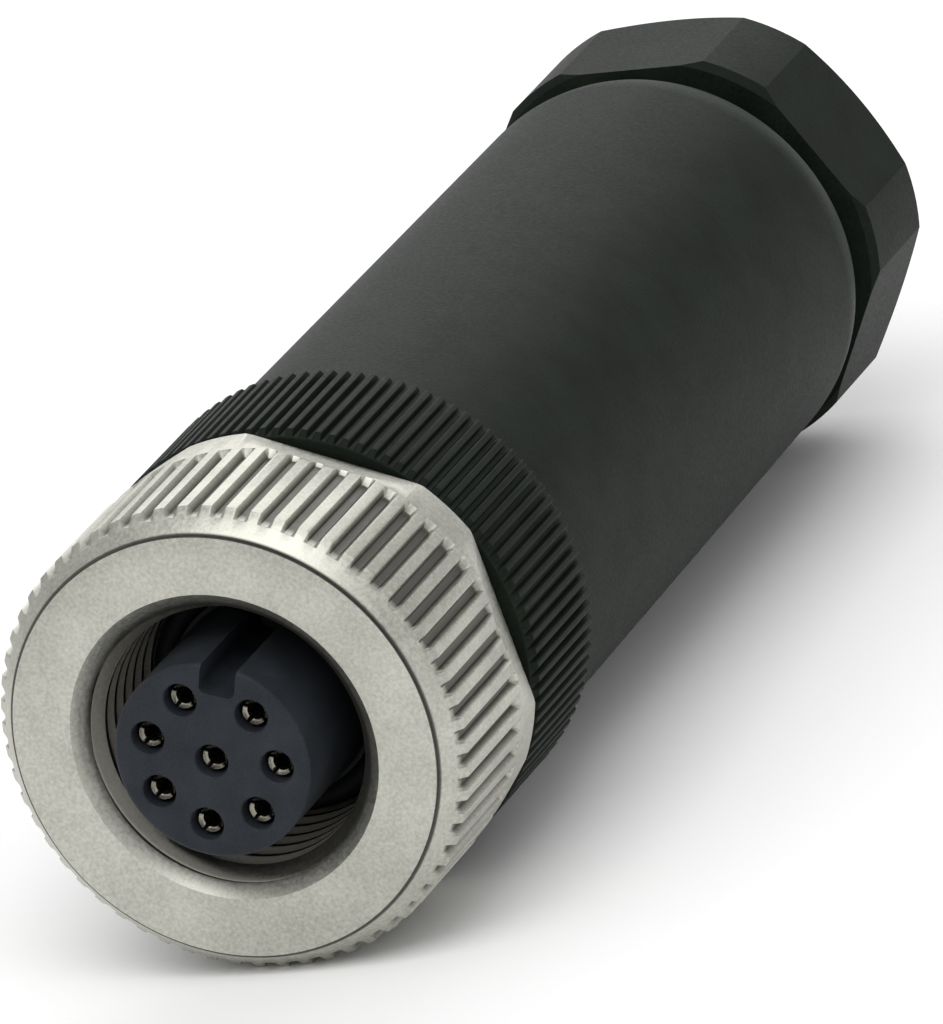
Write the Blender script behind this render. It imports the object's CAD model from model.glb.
# A straight female M12 cable connector: knurled metal nut, keyed insert, black sleeve and gland.
import math

import bmesh
import bpy
from mathutils import Matrix, Vector


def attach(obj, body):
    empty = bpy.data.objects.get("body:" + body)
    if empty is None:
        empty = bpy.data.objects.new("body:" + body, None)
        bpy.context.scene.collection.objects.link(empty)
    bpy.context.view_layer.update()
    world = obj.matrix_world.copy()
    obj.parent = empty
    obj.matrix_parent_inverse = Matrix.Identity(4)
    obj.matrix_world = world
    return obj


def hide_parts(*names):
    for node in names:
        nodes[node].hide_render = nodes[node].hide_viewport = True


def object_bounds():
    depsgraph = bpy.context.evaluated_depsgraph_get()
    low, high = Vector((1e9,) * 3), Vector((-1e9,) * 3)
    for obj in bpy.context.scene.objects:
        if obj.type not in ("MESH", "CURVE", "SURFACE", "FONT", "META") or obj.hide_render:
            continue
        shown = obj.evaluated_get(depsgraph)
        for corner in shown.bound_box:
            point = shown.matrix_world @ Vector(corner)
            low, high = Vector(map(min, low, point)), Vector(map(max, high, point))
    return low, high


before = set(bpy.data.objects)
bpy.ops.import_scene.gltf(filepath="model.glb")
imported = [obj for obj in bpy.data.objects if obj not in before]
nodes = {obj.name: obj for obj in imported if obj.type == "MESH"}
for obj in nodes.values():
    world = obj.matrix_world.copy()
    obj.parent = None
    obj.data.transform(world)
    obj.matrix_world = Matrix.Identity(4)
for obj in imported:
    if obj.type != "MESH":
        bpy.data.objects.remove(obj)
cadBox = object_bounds()
scene = bpy.context.scene
mm = 0.001
mergeGap = 1e-6  # metres; points closer than this are one
cutGap = 1e-7
rimStep = 0.02  # millimetres between a thread's skin and the rim it is joined to
along = Vector((0, 1, 0))  # the connector's axis, from the mating face to the cable end
keyDeg = 17.5  # the keyway; angles run from the top towards +X
print("frame loaded:", len(nodes), "nodes")


def outward(deg):
    # the direction across the axis at an angle from the top
    return Matrix.Rotation(math.radians(deg), 3, "Y") @ Vector((0, 0, 1))


def drawProfile(bm, points, closed=True):
    # points are (radius, station) pairs in millimetres, drawn in the plane above the axis
    verts = [bm.verts.new((0, y * mm, r * mm)) for r, y in points]
    edges = [bm.edges.new(pair) for pair in zip(verts, verts[1:])]
    if closed:
        edges.append(bm.edges.new((verts[-1], verts[0])))
    return verts + edges


def turnProfile(bm, points, steps, closed=True):
    geom = drawProfile(bm, points, closed)
    bmesh.ops.spin(bm, geom=geom, axis=along, angle=math.tau, steps=steps, use_merge=True)
    bmesh.ops.remove_doubles(bm, verts=bm.verts, dist=cutGap)


def arc(r, y, radius, startDeg, endDeg, steps=6):
    # points of a rounded corner about a centre (r, y), 0 degrees pointing outwards
    turns = [math.radians(startDeg + (endDeg - startDeg) * k / steps) for k in range(steps + 1)]
    return [(r + radius * math.cos(t), y + radius * math.sin(t)) for t in turns]


def knurledTurn(bm, points, knurl, closed=True):
    # one period of the knurl is spun in five strips, its groove is sunk, then it is repeated
    period = 360 / knurl["count"]
    rimHalf, floorHalf = knurl["rimDeg"] / 2, knurl["floorDeg"] / 2
    slack = 0.01  # in degrees and in millimetres
    strips = [
        (period / 2 - rimHalf, knurl["landSteps"]),
        (rimHalf - floorHalf, 1),
        (2 * floorHalf, knurl["floorSteps"]),
        (rimHalf - floorHalf, 1),
        (period / 2 - rimHalf, knurl["landSteps"]),
    ]
    geom = drawProfile(bm, points, closed)
    bmesh.ops.rotate(bm, verts=bm.verts, matrix=Matrix.Rotation(-math.radians(period / 2), 3, "Y"))
    for degrees, steps in strips:
        geom = bmesh.ops.spin(
            bm, geom=geom, axis=along, angle=math.radians(degrees), steps=steps)["geom_last"]
    for v in bm.verts:
        r, deg = math.hypot(v.co.x, v.co.z), math.degrees(math.atan2(v.co.x, v.co.z))
        inGroove = abs(deg) < floorHalf + slack and r > knurl["floorR"] * mm + mergeGap
        if inGroove and knurl["front"] - slack < v.co.y / mm < knurl["rear"] + slack:
            v.co.x *= knurl["floorR"] * mm / r
            v.co.z *= knurl["floorR"] * mm / r
    copies = knurl["count"] - 1
    bmesh.ops.spin(
        bm, geom=bm.verts[:] + bm.edges[:] + bm.faces[:], axis=along,
        angle=math.radians(period * copies), steps=copies, use_duplicate=True)
    bmesh.ops.remove_doubles(bm, verts=bm.verts, dist=2 * mergeGap)
    bmesh.ops.rotate(
        bm, verts=bm.verts, matrix=Matrix.Rotation(math.radians(knurl["startDeg"]), 3, "Y"))


def planeCut(bm, point, normal):
    # cuts away what lies beyond a plane and closes the cut
    cut = bmesh.ops.bisect_plane(
        bm, geom=bm.verts[:] + bm.edges[:] + bm.faces[:], plane_co=point, plane_no=normal,
        clear_outer=True, dist=cutGap)
    edges = [e for e in cut["geom_cut"] if isinstance(e, bmesh.types.BMEdge) and e.is_boundary]
    bmesh.ops.edgeloop_fill(bm, edges=edges)


def softenEdges(bm, width, segments=2, limitDeg=28, wanted=None):
    limit = math.radians(limitDeg)
    sharp = [e for e in bm.edges
             if e.is_manifold and e.calc_face_angle(0) > limit and (not wanted or wanted(e))]
    bmesh.ops.bevel(
        bm, geom=sharp, offset=width * mm, affect="EDGES", segments=segments, profile=0.5,
        material=-1, clamp_overlap=True)


def rimLoop(bm, y):
    # the open edges that lie at one station
    return [e for e in bm.edges
            if e.is_boundary and all(abs(v.co.y - y * mm) < 2 * mergeGap for v in e.verts)]


def cutThread(bm, thread):
    # a helical skin between two stations, joined to the open rims of the piece
    pitch, steps = thread["pitch"], thread["steps"]
    crest, root = thread["crestR"], thread["rootR"]
    flank, crestFlat = thread["flank"], thread["crestFlat"]  # shares of the pitch
    start = (1 - crestFlat) / 2 - flank
    rise = (0, 0.25, 0.5, 0.75, 1)
    rows = [(root, 0)]
    rows += [(root + (crest - root) * t, start + flank * t) for t in rise]
    rows += [(crest + (root - crest) * t, start + flank + crestFlat + flank * t) for t in rise]
    rows += [(root, 1)]
    turns = math.ceil((thread["rear"] - thread["front"]) / pitch) + 3  # the spare ends are cut off
    base = thread["front"] - 1.5 * pitch
    skin = bmesh.new()
    geom = drawProfile(skin, [(r, base + y * pitch) for r, y in rows], closed=False)
    bmesh.ops.spin(
        skin, geom=geom, axis=along, angle=math.tau * turns, steps=steps * turns,
        dvec=along * pitch * mm / steps)
    bmesh.ops.remove_doubles(skin, verts=skin.verts, dist=mergeGap)
    for y, side in ((thread["front"], -1), (thread["rear"], 1)):
        bmesh.ops.bisect_plane(
            skin, geom=skin.verts[:] + skin.edges[:] + skin.faces[:],
            plane_co=along * y * mm, plane_no=along * side, clear_outer=True, dist=cutGap)
    for v in skin.verts:  # a chamfer or a countersink limits the radius at each station
        r, limit = math.hypot(v.co.x, v.co.z), thread["limit"](v.co.y / mm) * mm
        wanted = max(r, limit) if crest < root else min(r, limit)
        v.co.x *= wanted / r
        v.co.z *= wanted / r
    bmesh.ops.remove_doubles(skin, verts=skin.verts, dist=mergeGap)
    holder = bpy.data.meshes.new("threadSkin")
    skin.to_mesh(holder)
    skin.free()
    ownRims = [(y, near, rimLoop(bm, near)) for y, near in
               ((thread["front"], thread["frontRim"]), (thread["rear"], thread["rearRim"]))]
    old = set(bm.edges)
    bm.from_mesh(holder)
    bpy.data.meshes.remove(holder)
    for y, near, rim in ownRims:
        fresh = [e for e in rimLoop(bm, y) if e not in old]
        if near == y:  # a flat ring between the two rims
            bmesh.ops.triangle_fill(bm, use_beauty=True, edges=rim + fresh, normal=along)
        else:
            bmesh.ops.bridge_loops(bm, edges=rim + fresh)


def carve(bm, cutter):
    # takes a closed cutter out of a closed piece
    pair = []
    for part, name in ((bm, "carved"), (cutter, "cutter")):
        bmesh.ops.recalc_face_normals(part, faces=part.faces)
        mesh = bpy.data.meshes.new(name)
        part.to_mesh(mesh)
        pair.append(bpy.data.objects.new(name, mesh))
        scene.collection.objects.link(pair[-1])
    cut = pair[0].modifiers.new("cut", "BOOLEAN")
    cut.operation, cut.solver, cut.object = "DIFFERENCE", "EXACT", pair[1]
    bpy.context.view_layer.update()
    shaped = bpy.data.meshes.new_from_object(
        pair[0].evaluated_get(bpy.context.evaluated_depsgraph_get()))
    bm.clear()
    bm.from_mesh(shaped)
    cutter.free()
    for mesh in [shaped] + [piece.data for piece in pair]:
        bpy.data.meshes.remove(mesh)
    bmesh.ops.remove_doubles(bm, verts=bm.verts, dist=mergeGap)


def addPiece(bm, name, body, replaced, material, sharpDeg=38):
    bmesh.ops.remove_doubles(bm, verts=bm.verts, dist=mergeGap)
    bmesh.ops.recalc_face_normals(bm, faces=bm.faces)
    openEdges = sum(1 for e in bm.edges if not e.is_manifold)
    for face in bm.faces:
        face.smooth = True
    for edge in bm.edges:
        edge.smooth = edge.calc_face_angle(0) < math.radians(sharpDeg)
    mesh = bpy.data.meshes.new(name)
    bm.to_mesh(mesh)
    triangles = sum(len(face.verts) - 2 for face in bm.faces)
    bm.free()
    piece = bpy.data.objects.new(name, mesh)
    scene.collection.objects.link(piece)
    mesh.materials.append(material)
    even = piece.modifiers.new("evenShading", "WEIGHTED_NORMAL")
    even.keep_sharp = True
    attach(piece, body)
    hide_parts(*replaced)
    print(name, "made:", triangles, "triangles,", openEdges, "open edges")
    return piece


def hexColour(code):
    channels = [int(code[k:k + 2], 16) / 255 for k in (1, 3, 5)]
    return (*[c / 12.92 if c <= 0.04045 else ((c + 0.055) / 1.055) ** 2.4 for c in channels], 1)


def addNode(tree, kind, settings=None, links=None):
    node = tree.nodes.new(kind)
    for key, value in (settings or {}).items():
        if isinstance(key, int) or key in node.inputs:
            node.inputs[key].default_value = value
        else:
            setattr(node, key, value)
    for key, source in (links or {}).items():
        tree.links.new(source, node.inputs[key])
    return node


def perMetre(sizeMm):
    return 1 / (sizeMm * mm)


def startMaterial(name):
    material = bpy.data.materials.new(name)
    material.use_nodes = True
    tree = material.node_tree
    return material, tree, tree.nodes["Principled BSDF"]


def blendZone(tree, zone, radius, station, tone):
    # another tone that deepens from one radius to another, between two stations
    rearRamp = 0.4
    sunk = addNode(
        tree, "ShaderNodeMapRange",
        {"From Min": zone["clearR"] * mm, "From Max": zone["fullR"] * mm}, {"Value": radius})
    ahead = addNode(
        tree, "ShaderNodeMapRange",
        {"From Min": zone["rear"] * mm, "From Max": (zone["rear"] - rearRamp) * mm,
         "To Max": zone["amount"]}, {"Value": station})
    behind = addNode(
        tree, "ShaderNodeMapRange",
        {"From Min": zone["front"] * mm, "From Max": (zone["front"] + zone["ramp"]) * mm},
        {"Value": station})
    outside = addNode(
        tree, "ShaderNodeMath", {"operation": "GREATER_THAN", 1: zone["fromR"] * mm}, {0: radius})
    amount = sunk.outputs["Result"]
    for share in (ahead.outputs["Result"], behind.outputs["Result"], outside.outputs[0]):
        amount = addNode(
            tree, "ShaderNodeMath", {"operation": "MULTIPLY"}, {0: amount, 1: share}).outputs[0]
    return addNode(
        tree, "ShaderNodeMix", {"data_type": "RGBA", 7: hexColour(zone["tone"])},
        {0: amount, 6: tone}).outputs[2]


def finishMaterial(name, look):
    # two tones over a broad pattern, with a fine grain in the tone, the roughness and the bump
    material, tree, shader = startMaterial(name)
    where = addNode(tree, "ShaderNodeTexCoord").outputs["Object"]
    broad = addNode(
        tree, "ShaderNodeTexNoise",
        {"Scale": perMetre(look["broadMm"]), "Detail": 3, "Roughness": 0.55}, {"Vector": where})
    fine = addNode(
        tree, "ShaderNodeTexNoise",
        {"Scale": perMetre(look["grainMm"]), "Detail": 4, "Roughness": 0.65}, {"Vector": where})
    grain = addNode(
        tree, "ShaderNodeMath", {"operation": "MULTIPLY", 1: look["grainTone"]},
        {0: fine.outputs["Fac"]})
    weight = addNode(
        tree, "ShaderNodeMath", {"operation": "MULTIPLY_ADD", 1: 1 - look["grainTone"]},
        {0: broad.outputs["Fac"], 2: grain.outputs[0]})
    spread = addNode(
        tree, "ShaderNodeMapRange",
        {"From Min": 0.35, "From Max": 0.65}, {"Value": weight.outputs[0]})
    tone = addNode(
        tree, "ShaderNodeMix",
        {"data_type": "RGBA", 6: hexColour(look["dark"]), 7: hexColour(look["light"])},
        {0: spread.outputs["Result"]}).outputs[2]
    across = addNode(
        tree, "ShaderNodeVectorMath", {"operation": "MULTIPLY", 1: (1, 0, 1)}, {0: where})
    radius = addNode(
        tree, "ShaderNodeVectorMath", {"operation": "LENGTH"}, {0: across.outputs[0]})
    station = addNode(tree, "ShaderNodeSeparateXYZ", {}, {0: where})
    for zone in look["zones"]:
        tone = blendZone(tree, zone, radius.outputs["Value"], station.outputs["Y"], tone)
    rough = addNode(
        tree, "ShaderNodeMapRange",
        {"From Min": 0.3, "From Max": 0.7, "To Min": look["rough"][0], "To Max": look["rough"][1]},
        {"Value": fine.outputs["Fac"]})
    bump = addNode(
        tree, "ShaderNodeBump",
        {"Strength": look["bump"], "Distance": look["bumpMm"] * mm},
        {"Height": fine.outputs["Fac"]})
    tree.links.new(tone, shader.inputs["Base Color"])
    tree.links.new(rough.outputs["Result"], shader.inputs["Roughness"])
    tree.links.new(bump.outputs["Normal"], shader.inputs["Normal"])
    for key, value in look["shader"].items():
        shader.inputs[key].default_value = value
    return material


# satin nickel plating over die-cast zinc: a dull, faintly warm silver, darker in the grooves and
# round the face's step, where handling leaves its tarnish, and in the thread; the blasted grain is
# about 0.05 mm and is drawn three times as coarse, so that it shows
satinNickel = finishMaterial("satinNickelPlating", {
    "dark": "#A6A69C", "light": "#CBCAC1", "broadMm": 2.4, "grainMm": 0.16, "grainTone": 0.7,
    "rough": (0.34, 0.5), "bump": 0.4, "bumpMm": 0.02, "shader": {"Metallic": 1},
    "zones": [
        {"fromR": 9.3, "clearR": 9.82, "fullR": 9.55, "front": 2.25, "ramp": 0.4, "rear": 8.5,
         "amount": 0.85, "tone": "#45443F"},
        {"fromR": 8.92, "clearR": 9.09, "fullR": 9.03, "front": 0.9, "ramp": 0.4, "rear": 2.1,
         "amount": 0.85, "tone": "#2B2A27"},
        {"fromR": 0, "clearR": 6.1, "fullR": 5.9, "front": 0, "ramp": 0.4, "rear": 30,
         "amount": 0.7, "tone": "#4F4A42"}]})
# glass-filled polyamide moulded in a spark-eroded tool: charcoal black, faintly green, with a
# soft sheen, since the texture scatters most of its gloss, and rubbed paler on the sleeve's rear
# shoulder; the texture is drawn about three times as coarse as it is
mouldedPolyamide = finishMaterial("mouldedPolyamide", {
    "dark": "#0F1410", "light": "#1B221B", "broadMm": 2.2, "grainMm": 0.16, "grainTone": 0.5,
    "rough": (0.42, 0.58), "bump": 0.6, "bumpMm": 0.02,
    "shader": {"IOR": 1.53, "Specular IOR Level": 0.07},
    "zones": [
        {"fromR": 7.9, "clearR": 8.92, "fullR": 8.72, "front": 51.2, "ramp": 1.3, "rear": 53.7,
         "amount": 0.4, "tone": "#565C57"}]})
# the contact insert's polyamide, moulded in a polished tool: slate black
insertPolyamide = finishMaterial("insertPolyamide", {
    "dark": "#22252A", "light": "#31353A", "broadMm": 1.6, "grainMm": 0.1, "grainTone": 0.5,
    "rough": (0.4, 0.52), "bump": 0.25, "bumpMm": 0.008,
    "shader": {"IOR": 1.53, "Specular IOR Level": 0.1}, "zones": []})
# gold flash over nickel, worn thin at the tips: it shows as a dull, warm grey
goldPlating = finishMaterial("goldPlating", {
    "dark": "#7A766A", "light": "#A5A093", "broadMm": 0.8, "grainMm": 0.06, "grainTone": 0.3,
    "rough": (0.22, 0.34), "bump": 0.1, "bumpMm": 0.003, "shader": {"Metallic": 1}, "zones": []})
# stamped spring steel and machined screws: a plain bright grey
brightSteel = finishMaterial("brightSteel", {
    "dark": "#8C8D90", "light": "#A9AAAC", "broadMm": 1.0, "grainMm": 0.08, "grainTone": 0.5,
    "rough": (0.25, 0.4), "bump": 0.15, "bumpMm": 0.004, "shader": {"Metallic": 1}, "zones": []})
# moulded nitrile rubber: nearly black and dusty matt
nitrileRubber = finishMaterial("nitrileRubber", {
    "dark": "#0C0D0D", "light": "#151616", "broadMm": 1.5, "grainMm": 0.1, "grainTone": 0.5,
    "rough": (0.62, 0.78), "bump": 0.3, "bumpMm": 0.01,
    "shader": {"IOR": 1.52, "Specular IOR Level": 0.3}, "zones": []})
print("materials made")

cadFinishes = {
    "coupling_nut": satinNickel, "snap_ring": brightSteel, "terminal_screws": brightSteel,
    "coupling_seal": nitrileRubber, "sleeve_seal": nitrileRubber, "cable_seal": nitrileRubber,
    "contact_insert": insertPolyamide, "terminal_block": insertPolyamide,
    "grip_ring": mouldedPolyamide, "sleeve": mouldedPolyamide, "thrust_ring": mouldedPolyamide,
    "pressure_nut": mouldedPolyamide,
    **{f"contact_{k}": goldPlating for k in range(1, 9)},
}
for name, finish in cadFinishes.items():
    nodes[name].data.materials.clear()
    nodes[name].data.materials.append(finish)

keptEdges = {"snap_ring": 0.08, "terminal_block": 0.1, "terminal_screws": 0.05}
for name, width in keptEdges.items():  # hidden nodes keep their shape and get fine edges
    weld = nodes[name].modifiers.new("joinFaces", "WELD")
    weld.merge_threshold = mergeGap
    bevel = nodes[name].modifiers.new("fineEdges", "BEVEL")
    bevel.width, bevel.segments = width * mm, 2
    bevel.limit_method, bevel.angle_limit = "ANGLE", math.radians(35)
print("frame's nodes finished")


nut = {
    "front": 1.4, "rear": 10.3, "rimR": 9.85, "faceR": 8.95, "faceStep": 0.12, "chamfer": 1.1,
    "grooves": 60, "grooveFloorR": 9.53, "grooveFront": 1.6, "grooveRear": 8.5,
    "grooveRunOut": 0.22, "rimWidth": 0.6, "floorWidth": 0.29, "rearChamfer": 0.15,
    "flatsAf": 18.1, "flatSlope": 18, "cornerDeg": 52,
    "mouthR": 6.5, "threadMajorR": 6.0, "threadMinorR": 5.459, "threadRear": 8.9, "pitch": 1.0,
    "reliefR": 6.75, "reliefRear": 11.5, "collarR": 7.4, "collarRear": 13.4, "collarBoreR": 6.05,
    "stepWidth": 0.08, "edge": 0.055,
}


def makeCouplingNut(n):
    bm = bmesh.new()
    front, rim, floor = n["front"], n["rimR"], n["grooveFloorR"]
    ledgeR = n["faceR"] + n["stepWidth"]  # a fine turned step round the face, ahead of the chamfer
    slope = (n["chamfer"] - n["faceStep"]) / (rim - ledgeR)
    mouthEnd = n["mouthR"] - n["threadMajorR"] - rimStep
    points = [
        (n["threadMajorR"] + rimStep, front + mouthEnd),
        (n["mouthR"], front),
        (n["faceR"], front),
        (n["faceR"], front + n["faceStep"]),
        (ledgeR, front + n["faceStep"]),
        (floor, front + n["faceStep"] + (floor - ledgeR) * slope),
        (rim, front + n["chamfer"]),
        (rim, n["grooveRear"] - n["grooveRunOut"]),
        (rim, n["grooveRear"]),
        (rim, n["rear"] - n["rearChamfer"]),
        (rim - n["rearChamfer"], n["rear"]),
        (n["collarR"], n["rear"]),
        (n["collarR"], n["collarRear"] - n["rearChamfer"]),
        (n["collarR"] - n["rearChamfer"], n["collarRear"]),
        (n["collarBoreR"], n["collarRear"]),
        (n["collarBoreR"], n["reliefRear"]),
        (n["reliefR"], n["reliefRear"]),
        (n["reliefR"], n["threadRear"]),
    ]
    knurledTurn(bm, points, {
        "count": n["grooves"], "startDeg": n["cornerDeg"],
        "rimDeg": math.degrees(n["rimWidth"] / rim),
        "floorDeg": math.degrees(n["floorWidth"] / floor),
        "floorR": floor, "front": n["grooveFront"], "rear": n["grooveRear"] - n["grooveRunOut"],
        "landSteps": 2, "floorSteps": 2}, closed=False)
    tilt = math.radians(n["flatSlope"])
    for k in range(6):
        out = outward(n["cornerDeg"] + 30 + 60 * k)
        planeCut(bm, out * n["flatsAf"] / 2 * mm + along * n["rear"] * mm,
                 out * math.cos(tilt) + along * math.sin(tilt))
    bmesh.ops.remove_doubles(bm, verts=bm.verts, dist=8 * mergeGap)
    softenEdges(bm, n["edge"])
    cutThread(bm, {
        "pitch": n["pitch"], "steps": 120, "crestR": n["threadMinorR"], "rootR": n["threadMajorR"],
        "flank": 0.3125, "crestFlat": 0.25,
        "front": front + mouthEnd + rimStep, "rear": n["threadRear"],
        "frontRim": front + mouthEnd, "rearRim": n["threadRear"],
        "limit": lambda y: n["mouthR"] - (y - front)})
    addPiece(bm, "couplingNut", "coupling", ["coupling_nut"], satinNickel)


makeCouplingNut(nut)


insert = {
    "noseR": 4.12, "rim": 0.25, "noseRear": 6.95, "shankR": 4.3, "flangeFront": 14.65,
    "flangeRear": 16.5, "flangeR": 6.15, "holeR": 0.68, "lead": 0.12, "holeRear": 9.45,
    "barrelR": 0.8, "pitchR": 2.75, "stepDeg": 49, "steps": 128, "holeSteps": 48,
    "keyWidth": 1.5, "keyFloorR": 2.85, "keyCorner": 0.3, "keyEdge": 0.06,
}


def makeContactInsert(p):
    bm = bmesh.new()
    leadEdge = arc(p["holeR"] + p["lead"], p["lead"], p["lead"], 270, 180, 5)
    turnProfile(bm, leadEdge + [
        (p["holeR"], p["holeRear"]),
        (p["barrelR"], p["holeRear"]),
        (p["barrelR"], p["flangeRear"]),
        (p["flangeR"], p["flangeRear"]),
        (p["flangeR"], p["flangeFront"]),
        (p["shankR"], p["flangeFront"]),
        (p["shankR"], p["noseRear"]),
        (p["noseR"], p["noseRear"]),
        *arc(p["noseR"] - p["rim"], p["rim"], p["rim"], 0, -90, 5)], p["steps"])
    key = bmesh.new()
    past, height = 1, 3  # the cutters reach past the piece
    length = p["noseRear"] + past
    bmesh.ops.create_cube(key, size=mm, matrix=Matrix.Translation(
        (0, (length / 2 - past) * mm, (p["keyFloorR"] + height / 2) * mm))
        @ Matrix.Diagonal((p["keyWidth"], length, height, 1)))
    floorEdges = [e for e in key.edges
                  if all(v.co.z < (p["keyFloorR"] + 0.1) * mm for v in e.verts)
                  and abs(e.verts[0].co.y - e.verts[1].co.y) > mm]
    bmesh.ops.bevel(
        key, geom=floorEdges, offset=p["keyCorner"] * mm, affect="EDGES", segments=6, profile=0.5,
        material=-1)
    bmesh.ops.rotate(key, verts=key.verts, matrix=Matrix.Rotation(math.radians(keyDeg), 3, "Y"))
    carve(bm, key)
    keySide = outward(keyDeg)
    softenEdges(
        bm, p["keyEdge"],
        wanted=lambda e: all(v.co.y < (p["noseRear"] - 0.01) * mm for v in e.verts)
        and e.verts[0].co.dot(keySide) > 2 * mm)
    holes = bmesh.new()
    turnProfile(holes, [
        (0, -past), (p["holeR"] + p["lead"], -past), *leadEdge,
        (p["holeR"], p["holeRear"]), (p["barrelR"], p["holeRear"]),
        (p["barrelR"], p["flangeRear"] + past), (0, p["flangeRear"] + past)],
        p["holeSteps"], closed=False)
    bmesh.ops.translate(holes, verts=holes.verts, vec=(0, 0, p["pitchR"] * mm))
    bmesh.ops.rotate(
        holes, verts=holes.verts,
        matrix=Matrix.Rotation(math.radians(keyDeg + 180 - 3 * p["stepDeg"]), 3, "Y"))
    bmesh.ops.spin(
        holes, geom=holes.verts[:] + holes.edges[:] + holes.faces[:], axis=along,
        angle=math.radians(6 * p["stepDeg"]), steps=6, use_duplicate=True)
    carve(bm, holes)
    addPiece(bm, "contactInsert", "carrier", ["contact_insert"], insertPolyamide)


makeContactInsert(insert)


contacts = {"tipZone": 0.6, "tipPull": 0.85, "leadIn": 0.15, "leadInR": 0.48, "edge": 0.035}


def makeContacts(c):
    # each socket is the frame's own, its four tines drawn in and opened by a lead-in cone
    for k in range(1, 9):
        bm = bmesh.new()
        bm.from_mesh(nodes[f"contact_{k}"].data)
        bmesh.ops.remove_doubles(bm, verts=bm.verts, dist=mergeGap)
        bmesh.ops.dissolve_limit(
            bm, angle_limit=math.radians(1), verts=bm.verts, edges=bm.edges)
        centre = Vector()
        if k < 8:
            centre = outward(keyDeg + 180 + (k - 4) * insert["stepDeg"]) * insert["pitchR"] * mm
        for v in bm.verts:
            if v.co.y < c["tipZone"] * mm:
                axisPoint = Vector((centre.x, v.co.y, centre.z))
                inner = (v.co - axisPoint).length < c["leadInR"] * mm
                v.co = axisPoint + (v.co - axisPoint) * c["tipPull"]
                v.co.y += c["leadIn"] * mm * inner
        softenEdges(bm, c["edge"])
        addPiece(bm, f"contact{k}", "carrier", [f"contact_{k}"], goldPlating)


makeContacts(contacts)


ring = {
    "front": 10.6, "rear": 17.4, "rimR": 9.75, "chamfer": 0.3, "grooves": 102,
    "grooveFloorR": 9.49, "rimWidth": 0.34, "floorWidth": 0.17, "edge": 0.03,
    "recessR": 7.55, "recessRear": 13.8, "neckR": 6.0, "neckTipR": 5.309, "neckFront": 8.0,
    "neckStep": 9.2, "snapR": 5.3, "snapFront": 9.65, "snapRear": 10.55, "boreR": 4.35,
    "flangeFront": 14.6, "coreR": 6.2, "spigotR": 7.95, "spigotRear": 23.9,
    "sealFront": 18.0, "sealRear": 19.0, "sealR": 7.0,
    "threadFront": 19.3, "threadRootR": 7.4, "threadLead": 0.1, "pitch": 1.0, "knurlR": 9.2,
}


def makeGripRing(g):
    bm = bmesh.new()
    endR = g["rimR"] - g["chamfer"]
    down = g["grooveFloorR"] - endR
    points = [
        (g["threadRootR"], g["spigotRear"]),
        (g["coreR"], g["spigotRear"]),
        (g["coreR"], g["flangeFront"]),
        (g["boreR"], g["flangeFront"]),
        (g["boreR"], g["neckFront"]),
        (g["neckTipR"], g["neckFront"]),
        (g["neckTipR"], g["neckStep"]),
        (g["neckR"], g["neckStep"]),
        (g["neckR"], g["snapFront"]),
        (g["snapR"], g["snapFront"]),
        (g["snapR"], g["snapRear"]),
        (g["neckR"], g["snapRear"]),
        (g["neckR"], g["recessRear"]),
        (g["recessR"], g["recessRear"]),
        (g["recessR"], g["front"]),
        (endR, g["front"]),
        (g["grooveFloorR"], g["front"] + down),
        (g["rimR"], g["front"] + g["chamfer"]),
        (g["rimR"], g["rear"] - g["chamfer"]),
        (g["grooveFloorR"], g["rear"] - down),
        (endR, g["rear"]),
        (g["spigotR"], g["rear"]),
        (g["spigotR"], g["sealFront"]),
        (g["sealR"], g["sealFront"]),
        (g["sealR"], g["sealRear"]),
        (g["spigotR"], g["sealRear"]),
        (g["spigotR"], g["threadFront"] - g["threadLead"]),
        (g["threadRootR"], g["threadFront"] - rimStep),
    ]
    knurledTurn(bm, points, {
        "count": g["grooves"], "startDeg": 0,
        "rimDeg": math.degrees(g["rimWidth"] / g["rimR"]),
        "floorDeg": math.degrees(g["floorWidth"] / g["grooveFloorR"]),
        "floorR": g["grooveFloorR"], "front": g["front"], "rear": g["rear"],
        "landSteps": 1, "floorSteps": 1}, closed=False)
    softenEdges(
        bm, g["edge"],
        wanted=lambda e: min(math.hypot(v.co.x, v.co.z) for v in e.verts) > g["knurlR"] * mm)
    cutThread(bm, {
        "pitch": g["pitch"], "steps": 96, "crestR": g["spigotR"], "rootR": g["threadRootR"],
        "flank": 0.34, "crestFlat": 0.16,
        "front": g["threadFront"], "rear": g["spigotRear"] - rimStep,
        "frontRim": g["threadFront"] - rimStep, "rearRim": g["spigotRear"],
        "limit": lambda y: g["threadRootR"] + max(
            0, min(y - g["threadFront"], g["spigotRear"] - rimStep - y))})
    addPiece(bm, "gripRing", "carrier", ["grip_ring"], mouldedPolyamide)


makeGripRing(ring)


sleeve = {
    "front": 17.45, "rear": 53.3, "frontR": 9.05, "rearR": 8.8, "chamfer": 0.25,
    "shoulderRun": 2.0, "shoulderDrop": 0.75,
    "mouthR": 8.3, "threadR": 8.0, "threadRear": 24.6, "chamberR": 7.4, "chamberRear": 35.1,
    "throatR": 4.6, "throatFront": 37.9, "seat": 38.9, "pocketR": 6.75, "step": 45.9,
    "glandBoreR": 7.65, "edge": 0.06, "steps": 192,
}


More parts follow.
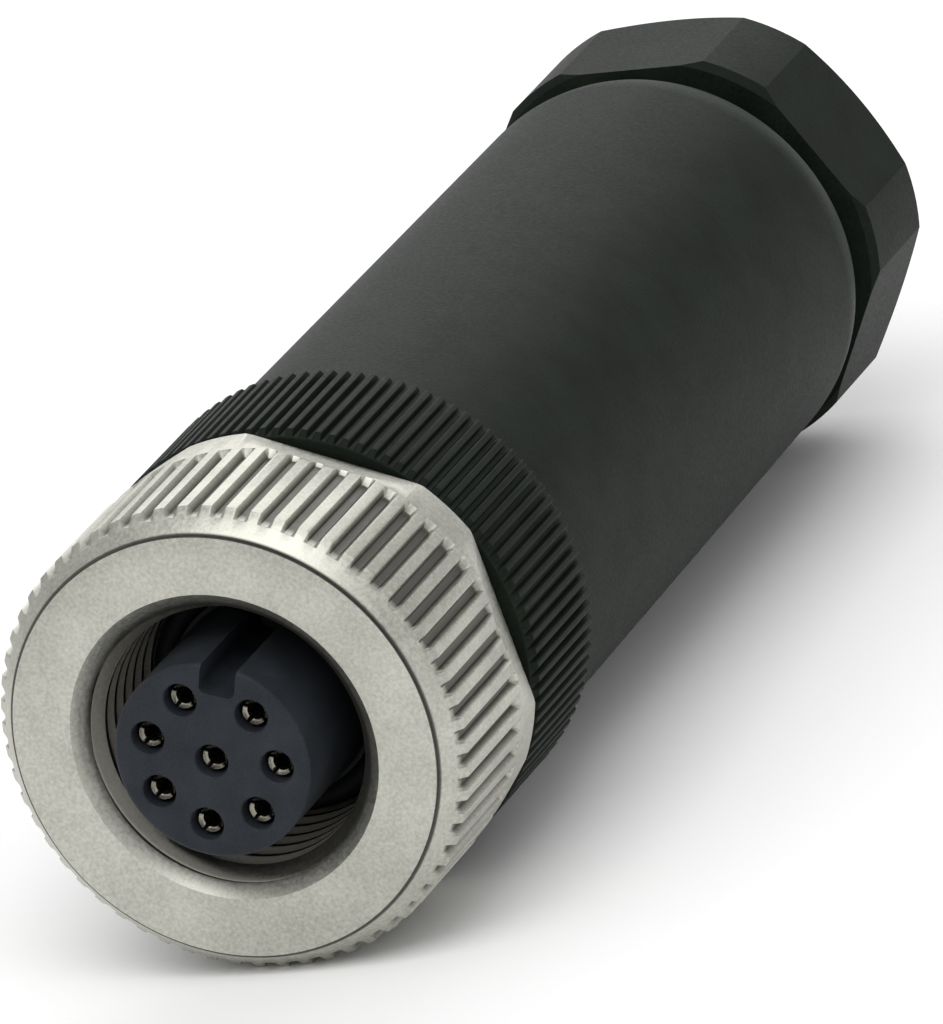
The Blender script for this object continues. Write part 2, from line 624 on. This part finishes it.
def makeSleeve(s):
    bm = bmesh.new()
    turnProfile(bm, [
        (s["mouthR"], s["front"]),
        (s["frontR"] - s["chamfer"], s["front"]),
        (s["frontR"], s["front"] + s["chamfer"]),
        *[(s["rearR"] - s["shoulderDrop"] * (1 - r), s["rear"] - s["shoulderRun"] * (1 - y))
          for r, y in arc(0, 0, 1, 0, 90, 12)],
        (s["glandBoreR"], s["rear"]),
        (s["glandBoreR"], s["step"]),
        (s["pocketR"], s["step"]),
        (s["pocketR"], s["seat"]),
        (s["throatR"], s["seat"]),
        (s["throatR"], s["throatFront"]),
        (s["chamberR"], s["chamberRear"]),
        (s["chamberR"], s["threadRear"]),
        (s["threadR"], s["threadRear"]),
        (s["threadR"], s["front"] + s["mouthR"] - s["threadR"])], s["steps"])
    softenEdges(bm, s["edge"])
    addPiece(bm, "sleeveBody", "sleeve", ["sleeve"], mouldedPolyamide)


makeSleeve(sleeve)


gland = {
    "front": 46.7, "headFront": 54.1, "rear": 60.4, "cornerR": 9.1, "flatsAf": 17.0, "flatDeg": 0,
    "frontEdge": 0.3, "chamfer": 0.9, "chamferDrop": 1.0, "boreR": 4.4, "mouth": 0.5,
    "threadR": 7.6, "threadRootR": 7.0, "threadRear": 53.5, "pitch": 1.41, "edge": 0.09,
    "steps": 192,
}


def makePressureNut(g):
    bm = bmesh.new()
    turnProfile(bm, [
        (g["threadRootR"], g["threadRear"] + rimStep),
        (g["threadRootR"], g["headFront"]),
        (g["cornerR"] - g["frontEdge"], g["headFront"]),
        (g["cornerR"], g["headFront"] + g["frontEdge"]),
        (g["cornerR"], g["rear"] - g["chamfer"]),
        (g["cornerR"] - g["chamferDrop"], g["rear"]),
        (g["boreR"] + g["mouth"], g["rear"]),
        (g["boreR"], g["rear"] - g["mouth"]),
        (g["boreR"], g["front"]),
        (g["threadRootR"], g["front"])], g["steps"], closed=False)
    for k in range(6):
        out = outward(g["flatDeg"] + 60 * k)
        planeCut(bm, out * g["flatsAf"] / 2 * mm, out)
    softenEdges(bm, g["edge"], segments=3, limitDeg=20)
    cutThread(bm, {
        "pitch": g["pitch"], "steps": 96, "crestR": g["threadR"], "rootR": g["threadRootR"],
        "flank": 0.3, "crestFlat": 0.2, "front": g["front"] + rimStep, "rear": g["threadRear"],
        "frontRim": g["front"], "rearRim": g["threadRear"] + rimStep,
        "limit": lambda y: g["threadRootR"] + max(
            0, min(y - g["front"] - rimStep, g["threadRear"] - y))})
    addPiece(bm, "pressureNut", "gland", ["pressure_nut"], mouldedPolyamide)


makePressureNut(gland)


seals = {
    "front": 39.0, "length": 5.0, "outerR": 6.65, "boreR": 4.1, "ribs": 3, "ribDepth": 0.5,
    "edge": 0.4, "couplingR": 4.8, "couplingY": 7.5, "couplingWidth": 0.9,
    "sleeveR": 7.475, "sleeveY": 18.5, "sleeveWidth": 0.85,
    "thrustFront": 45.05, "thrustRear": 46.65, "thrustR": 6.7, "thrustBoreR": 4.8,
    "ribEdge": 0.12, "thrustEdge": 0.1, "steps": 128,
}


def makeSeals(s):
    bm = bmesh.new()
    rear, halfRib = s["front"] + s["length"], s["length"] / s["ribs"] / 2
    turnProfile(bm, [
        (s["outerR"] - s["edge"], s["front"]),
        (s["outerR"], s["front"] + s["edge"]),
        (s["outerR"], rear - s["edge"]),
        (s["outerR"] - s["edge"], rear),
        *[(s["boreR"] + (s["ribDepth"] if k % 2 == 0 else 0), s["front"] + k * halfRib)
          for k in range(2 * s["ribs"], -1, -1)]], s["steps"])
    softenEdges(bm, s["ribEdge"], segments=3)
    addPiece(bm, "cableSeal", "seal", ["cable_seal"], nitrileRubber)
    for name, node, r, y, width in (
            ("couplingSeal", "coupling_seal", s["couplingR"], s["couplingY"], s["couplingWidth"]),
            ("sleeveSeal", "sleeve_seal", s["sleeveR"], s["sleeveY"], s["sleeveWidth"])):
        bm = bmesh.new()
        turnProfile(bm, arc(r, y, width / 2, 0, 345, 23), s["steps"])
        addPiece(bm, name, "carrier", [node], nitrileRubber)
    bm = bmesh.new()
    turnProfile(bm, [
        (s["thrustBoreR"], s["thrustFront"]), (s["thrustR"], s["thrustFront"]),
        (s["thrustR"], s["thrustRear"]), (s["thrustBoreR"], s["thrustRear"])], s["steps"])
    softenEdges(bm, s["thrustEdge"])
    addPiece(bm, "thrustRing", "thrust", ["thrust_ring"], mouldedPolyamide)


makeSeals(seals)


studio = {
    "floorColour": "#FFFFFF", "floorRough": 0.9, "floorHalf": 3.0, "world": 0.66,
    "aimMm": (9.605, 8.236, 6.461), "azimuth": 24.87, "elevation": 18.52, "roll": 13.14,
    "distanceMm": 715.7, "lens": 640.0, "clip": (0.01, 20),
    "lamps": {  # width, height, watts, place in millimetres
        "backLamp": (600, 320, 1.0, (-140, 460, 300)),
        "frontLamp": (420, 300, 1.15, (80, -230, 440)),
    },
}


def makeFloor(s, z):
    bm = bmesh.new()
    bmesh.ops.create_grid(bm, x_segments=1, y_segments=1, size=s["floorHalf"])
    bmesh.ops.translate(bm, verts=bm.verts, vec=(0, 0, z))
    mesh = bpy.data.meshes.new("floor")
    bm.to_mesh(mesh)
    bm.free()
    floor = bpy.data.objects.new("floor", mesh)
    scene.collection.objects.link(floor)
    material, tree, shader = startMaterial("paperSweep")
    shader.inputs["Base Color"].default_value = hexColour(s["floorColour"])
    shader.inputs["Roughness"].default_value = s["floorRough"]
    shader.inputs["Specular IOR Level"].default_value = 0
    mesh.materials.append(material)


def addLamp(name, width, height, watts, fromMm, toMm=(0, 25, 0)):
    lamp = bpy.data.lights.new(name, "AREA")
    lamp.shape, lamp.energy = "RECTANGLE", watts
    lamp.size, lamp.size_y = width * mm, height * mm
    holder = bpy.data.objects.new(name, lamp)
    scene.collection.objects.link(holder)
    holder.location = Vector(fromMm) * mm
    aim = Vector(toMm) * mm - holder.location
    holder.rotation_mode = "QUATERNION"
    holder.rotation_quaternion = aim.to_track_quat("-Z", "Y")


def makeWorld(s):
    world = bpy.data.worlds.new("studioWorld")
    world.use_nodes = True
    background = world.node_tree.nodes["Background"]
    background.inputs["Color"].default_value = (1, 1, 1, 1)
    background.inputs["Strength"].default_value = s["world"]
    scene.world = world


def makeCamera(s):
    camera = bpy.data.objects.new("camera", bpy.data.cameras.new("camera"))
    scene.collection.objects.link(camera)
    scene.camera = camera
    camera.data.lens = s["lens"]
    camera.data.clip_start, camera.data.clip_end = s["clip"]
    a, e = math.radians(s["azimuth"]), math.radians(s["elevation"])
    back = Vector((math.sin(a) * math.cos(e), -math.cos(a) * math.cos(e), math.sin(e)))
    camera.location = Vector(s["aimMm"]) * mm + back * s["distanceMm"] * mm
    camera.rotation_mode = "QUATERNION"
    facing = (-back).to_track_quat("-Z", "Y")
    turn = Matrix.Rotation(-math.radians(s["roll"]), 4, "Z").to_quaternion()
    camera.rotation_quaternion = facing @ turn


makeFloor(studio, cadBox[0].z)
for name, lampSettings in studio["lamps"].items():
    addLamp(name, *lampSettings)
makeWorld(studio)
makeCamera(studio)
scene.view_settings.view_transform = "Standard"
print("studio made")
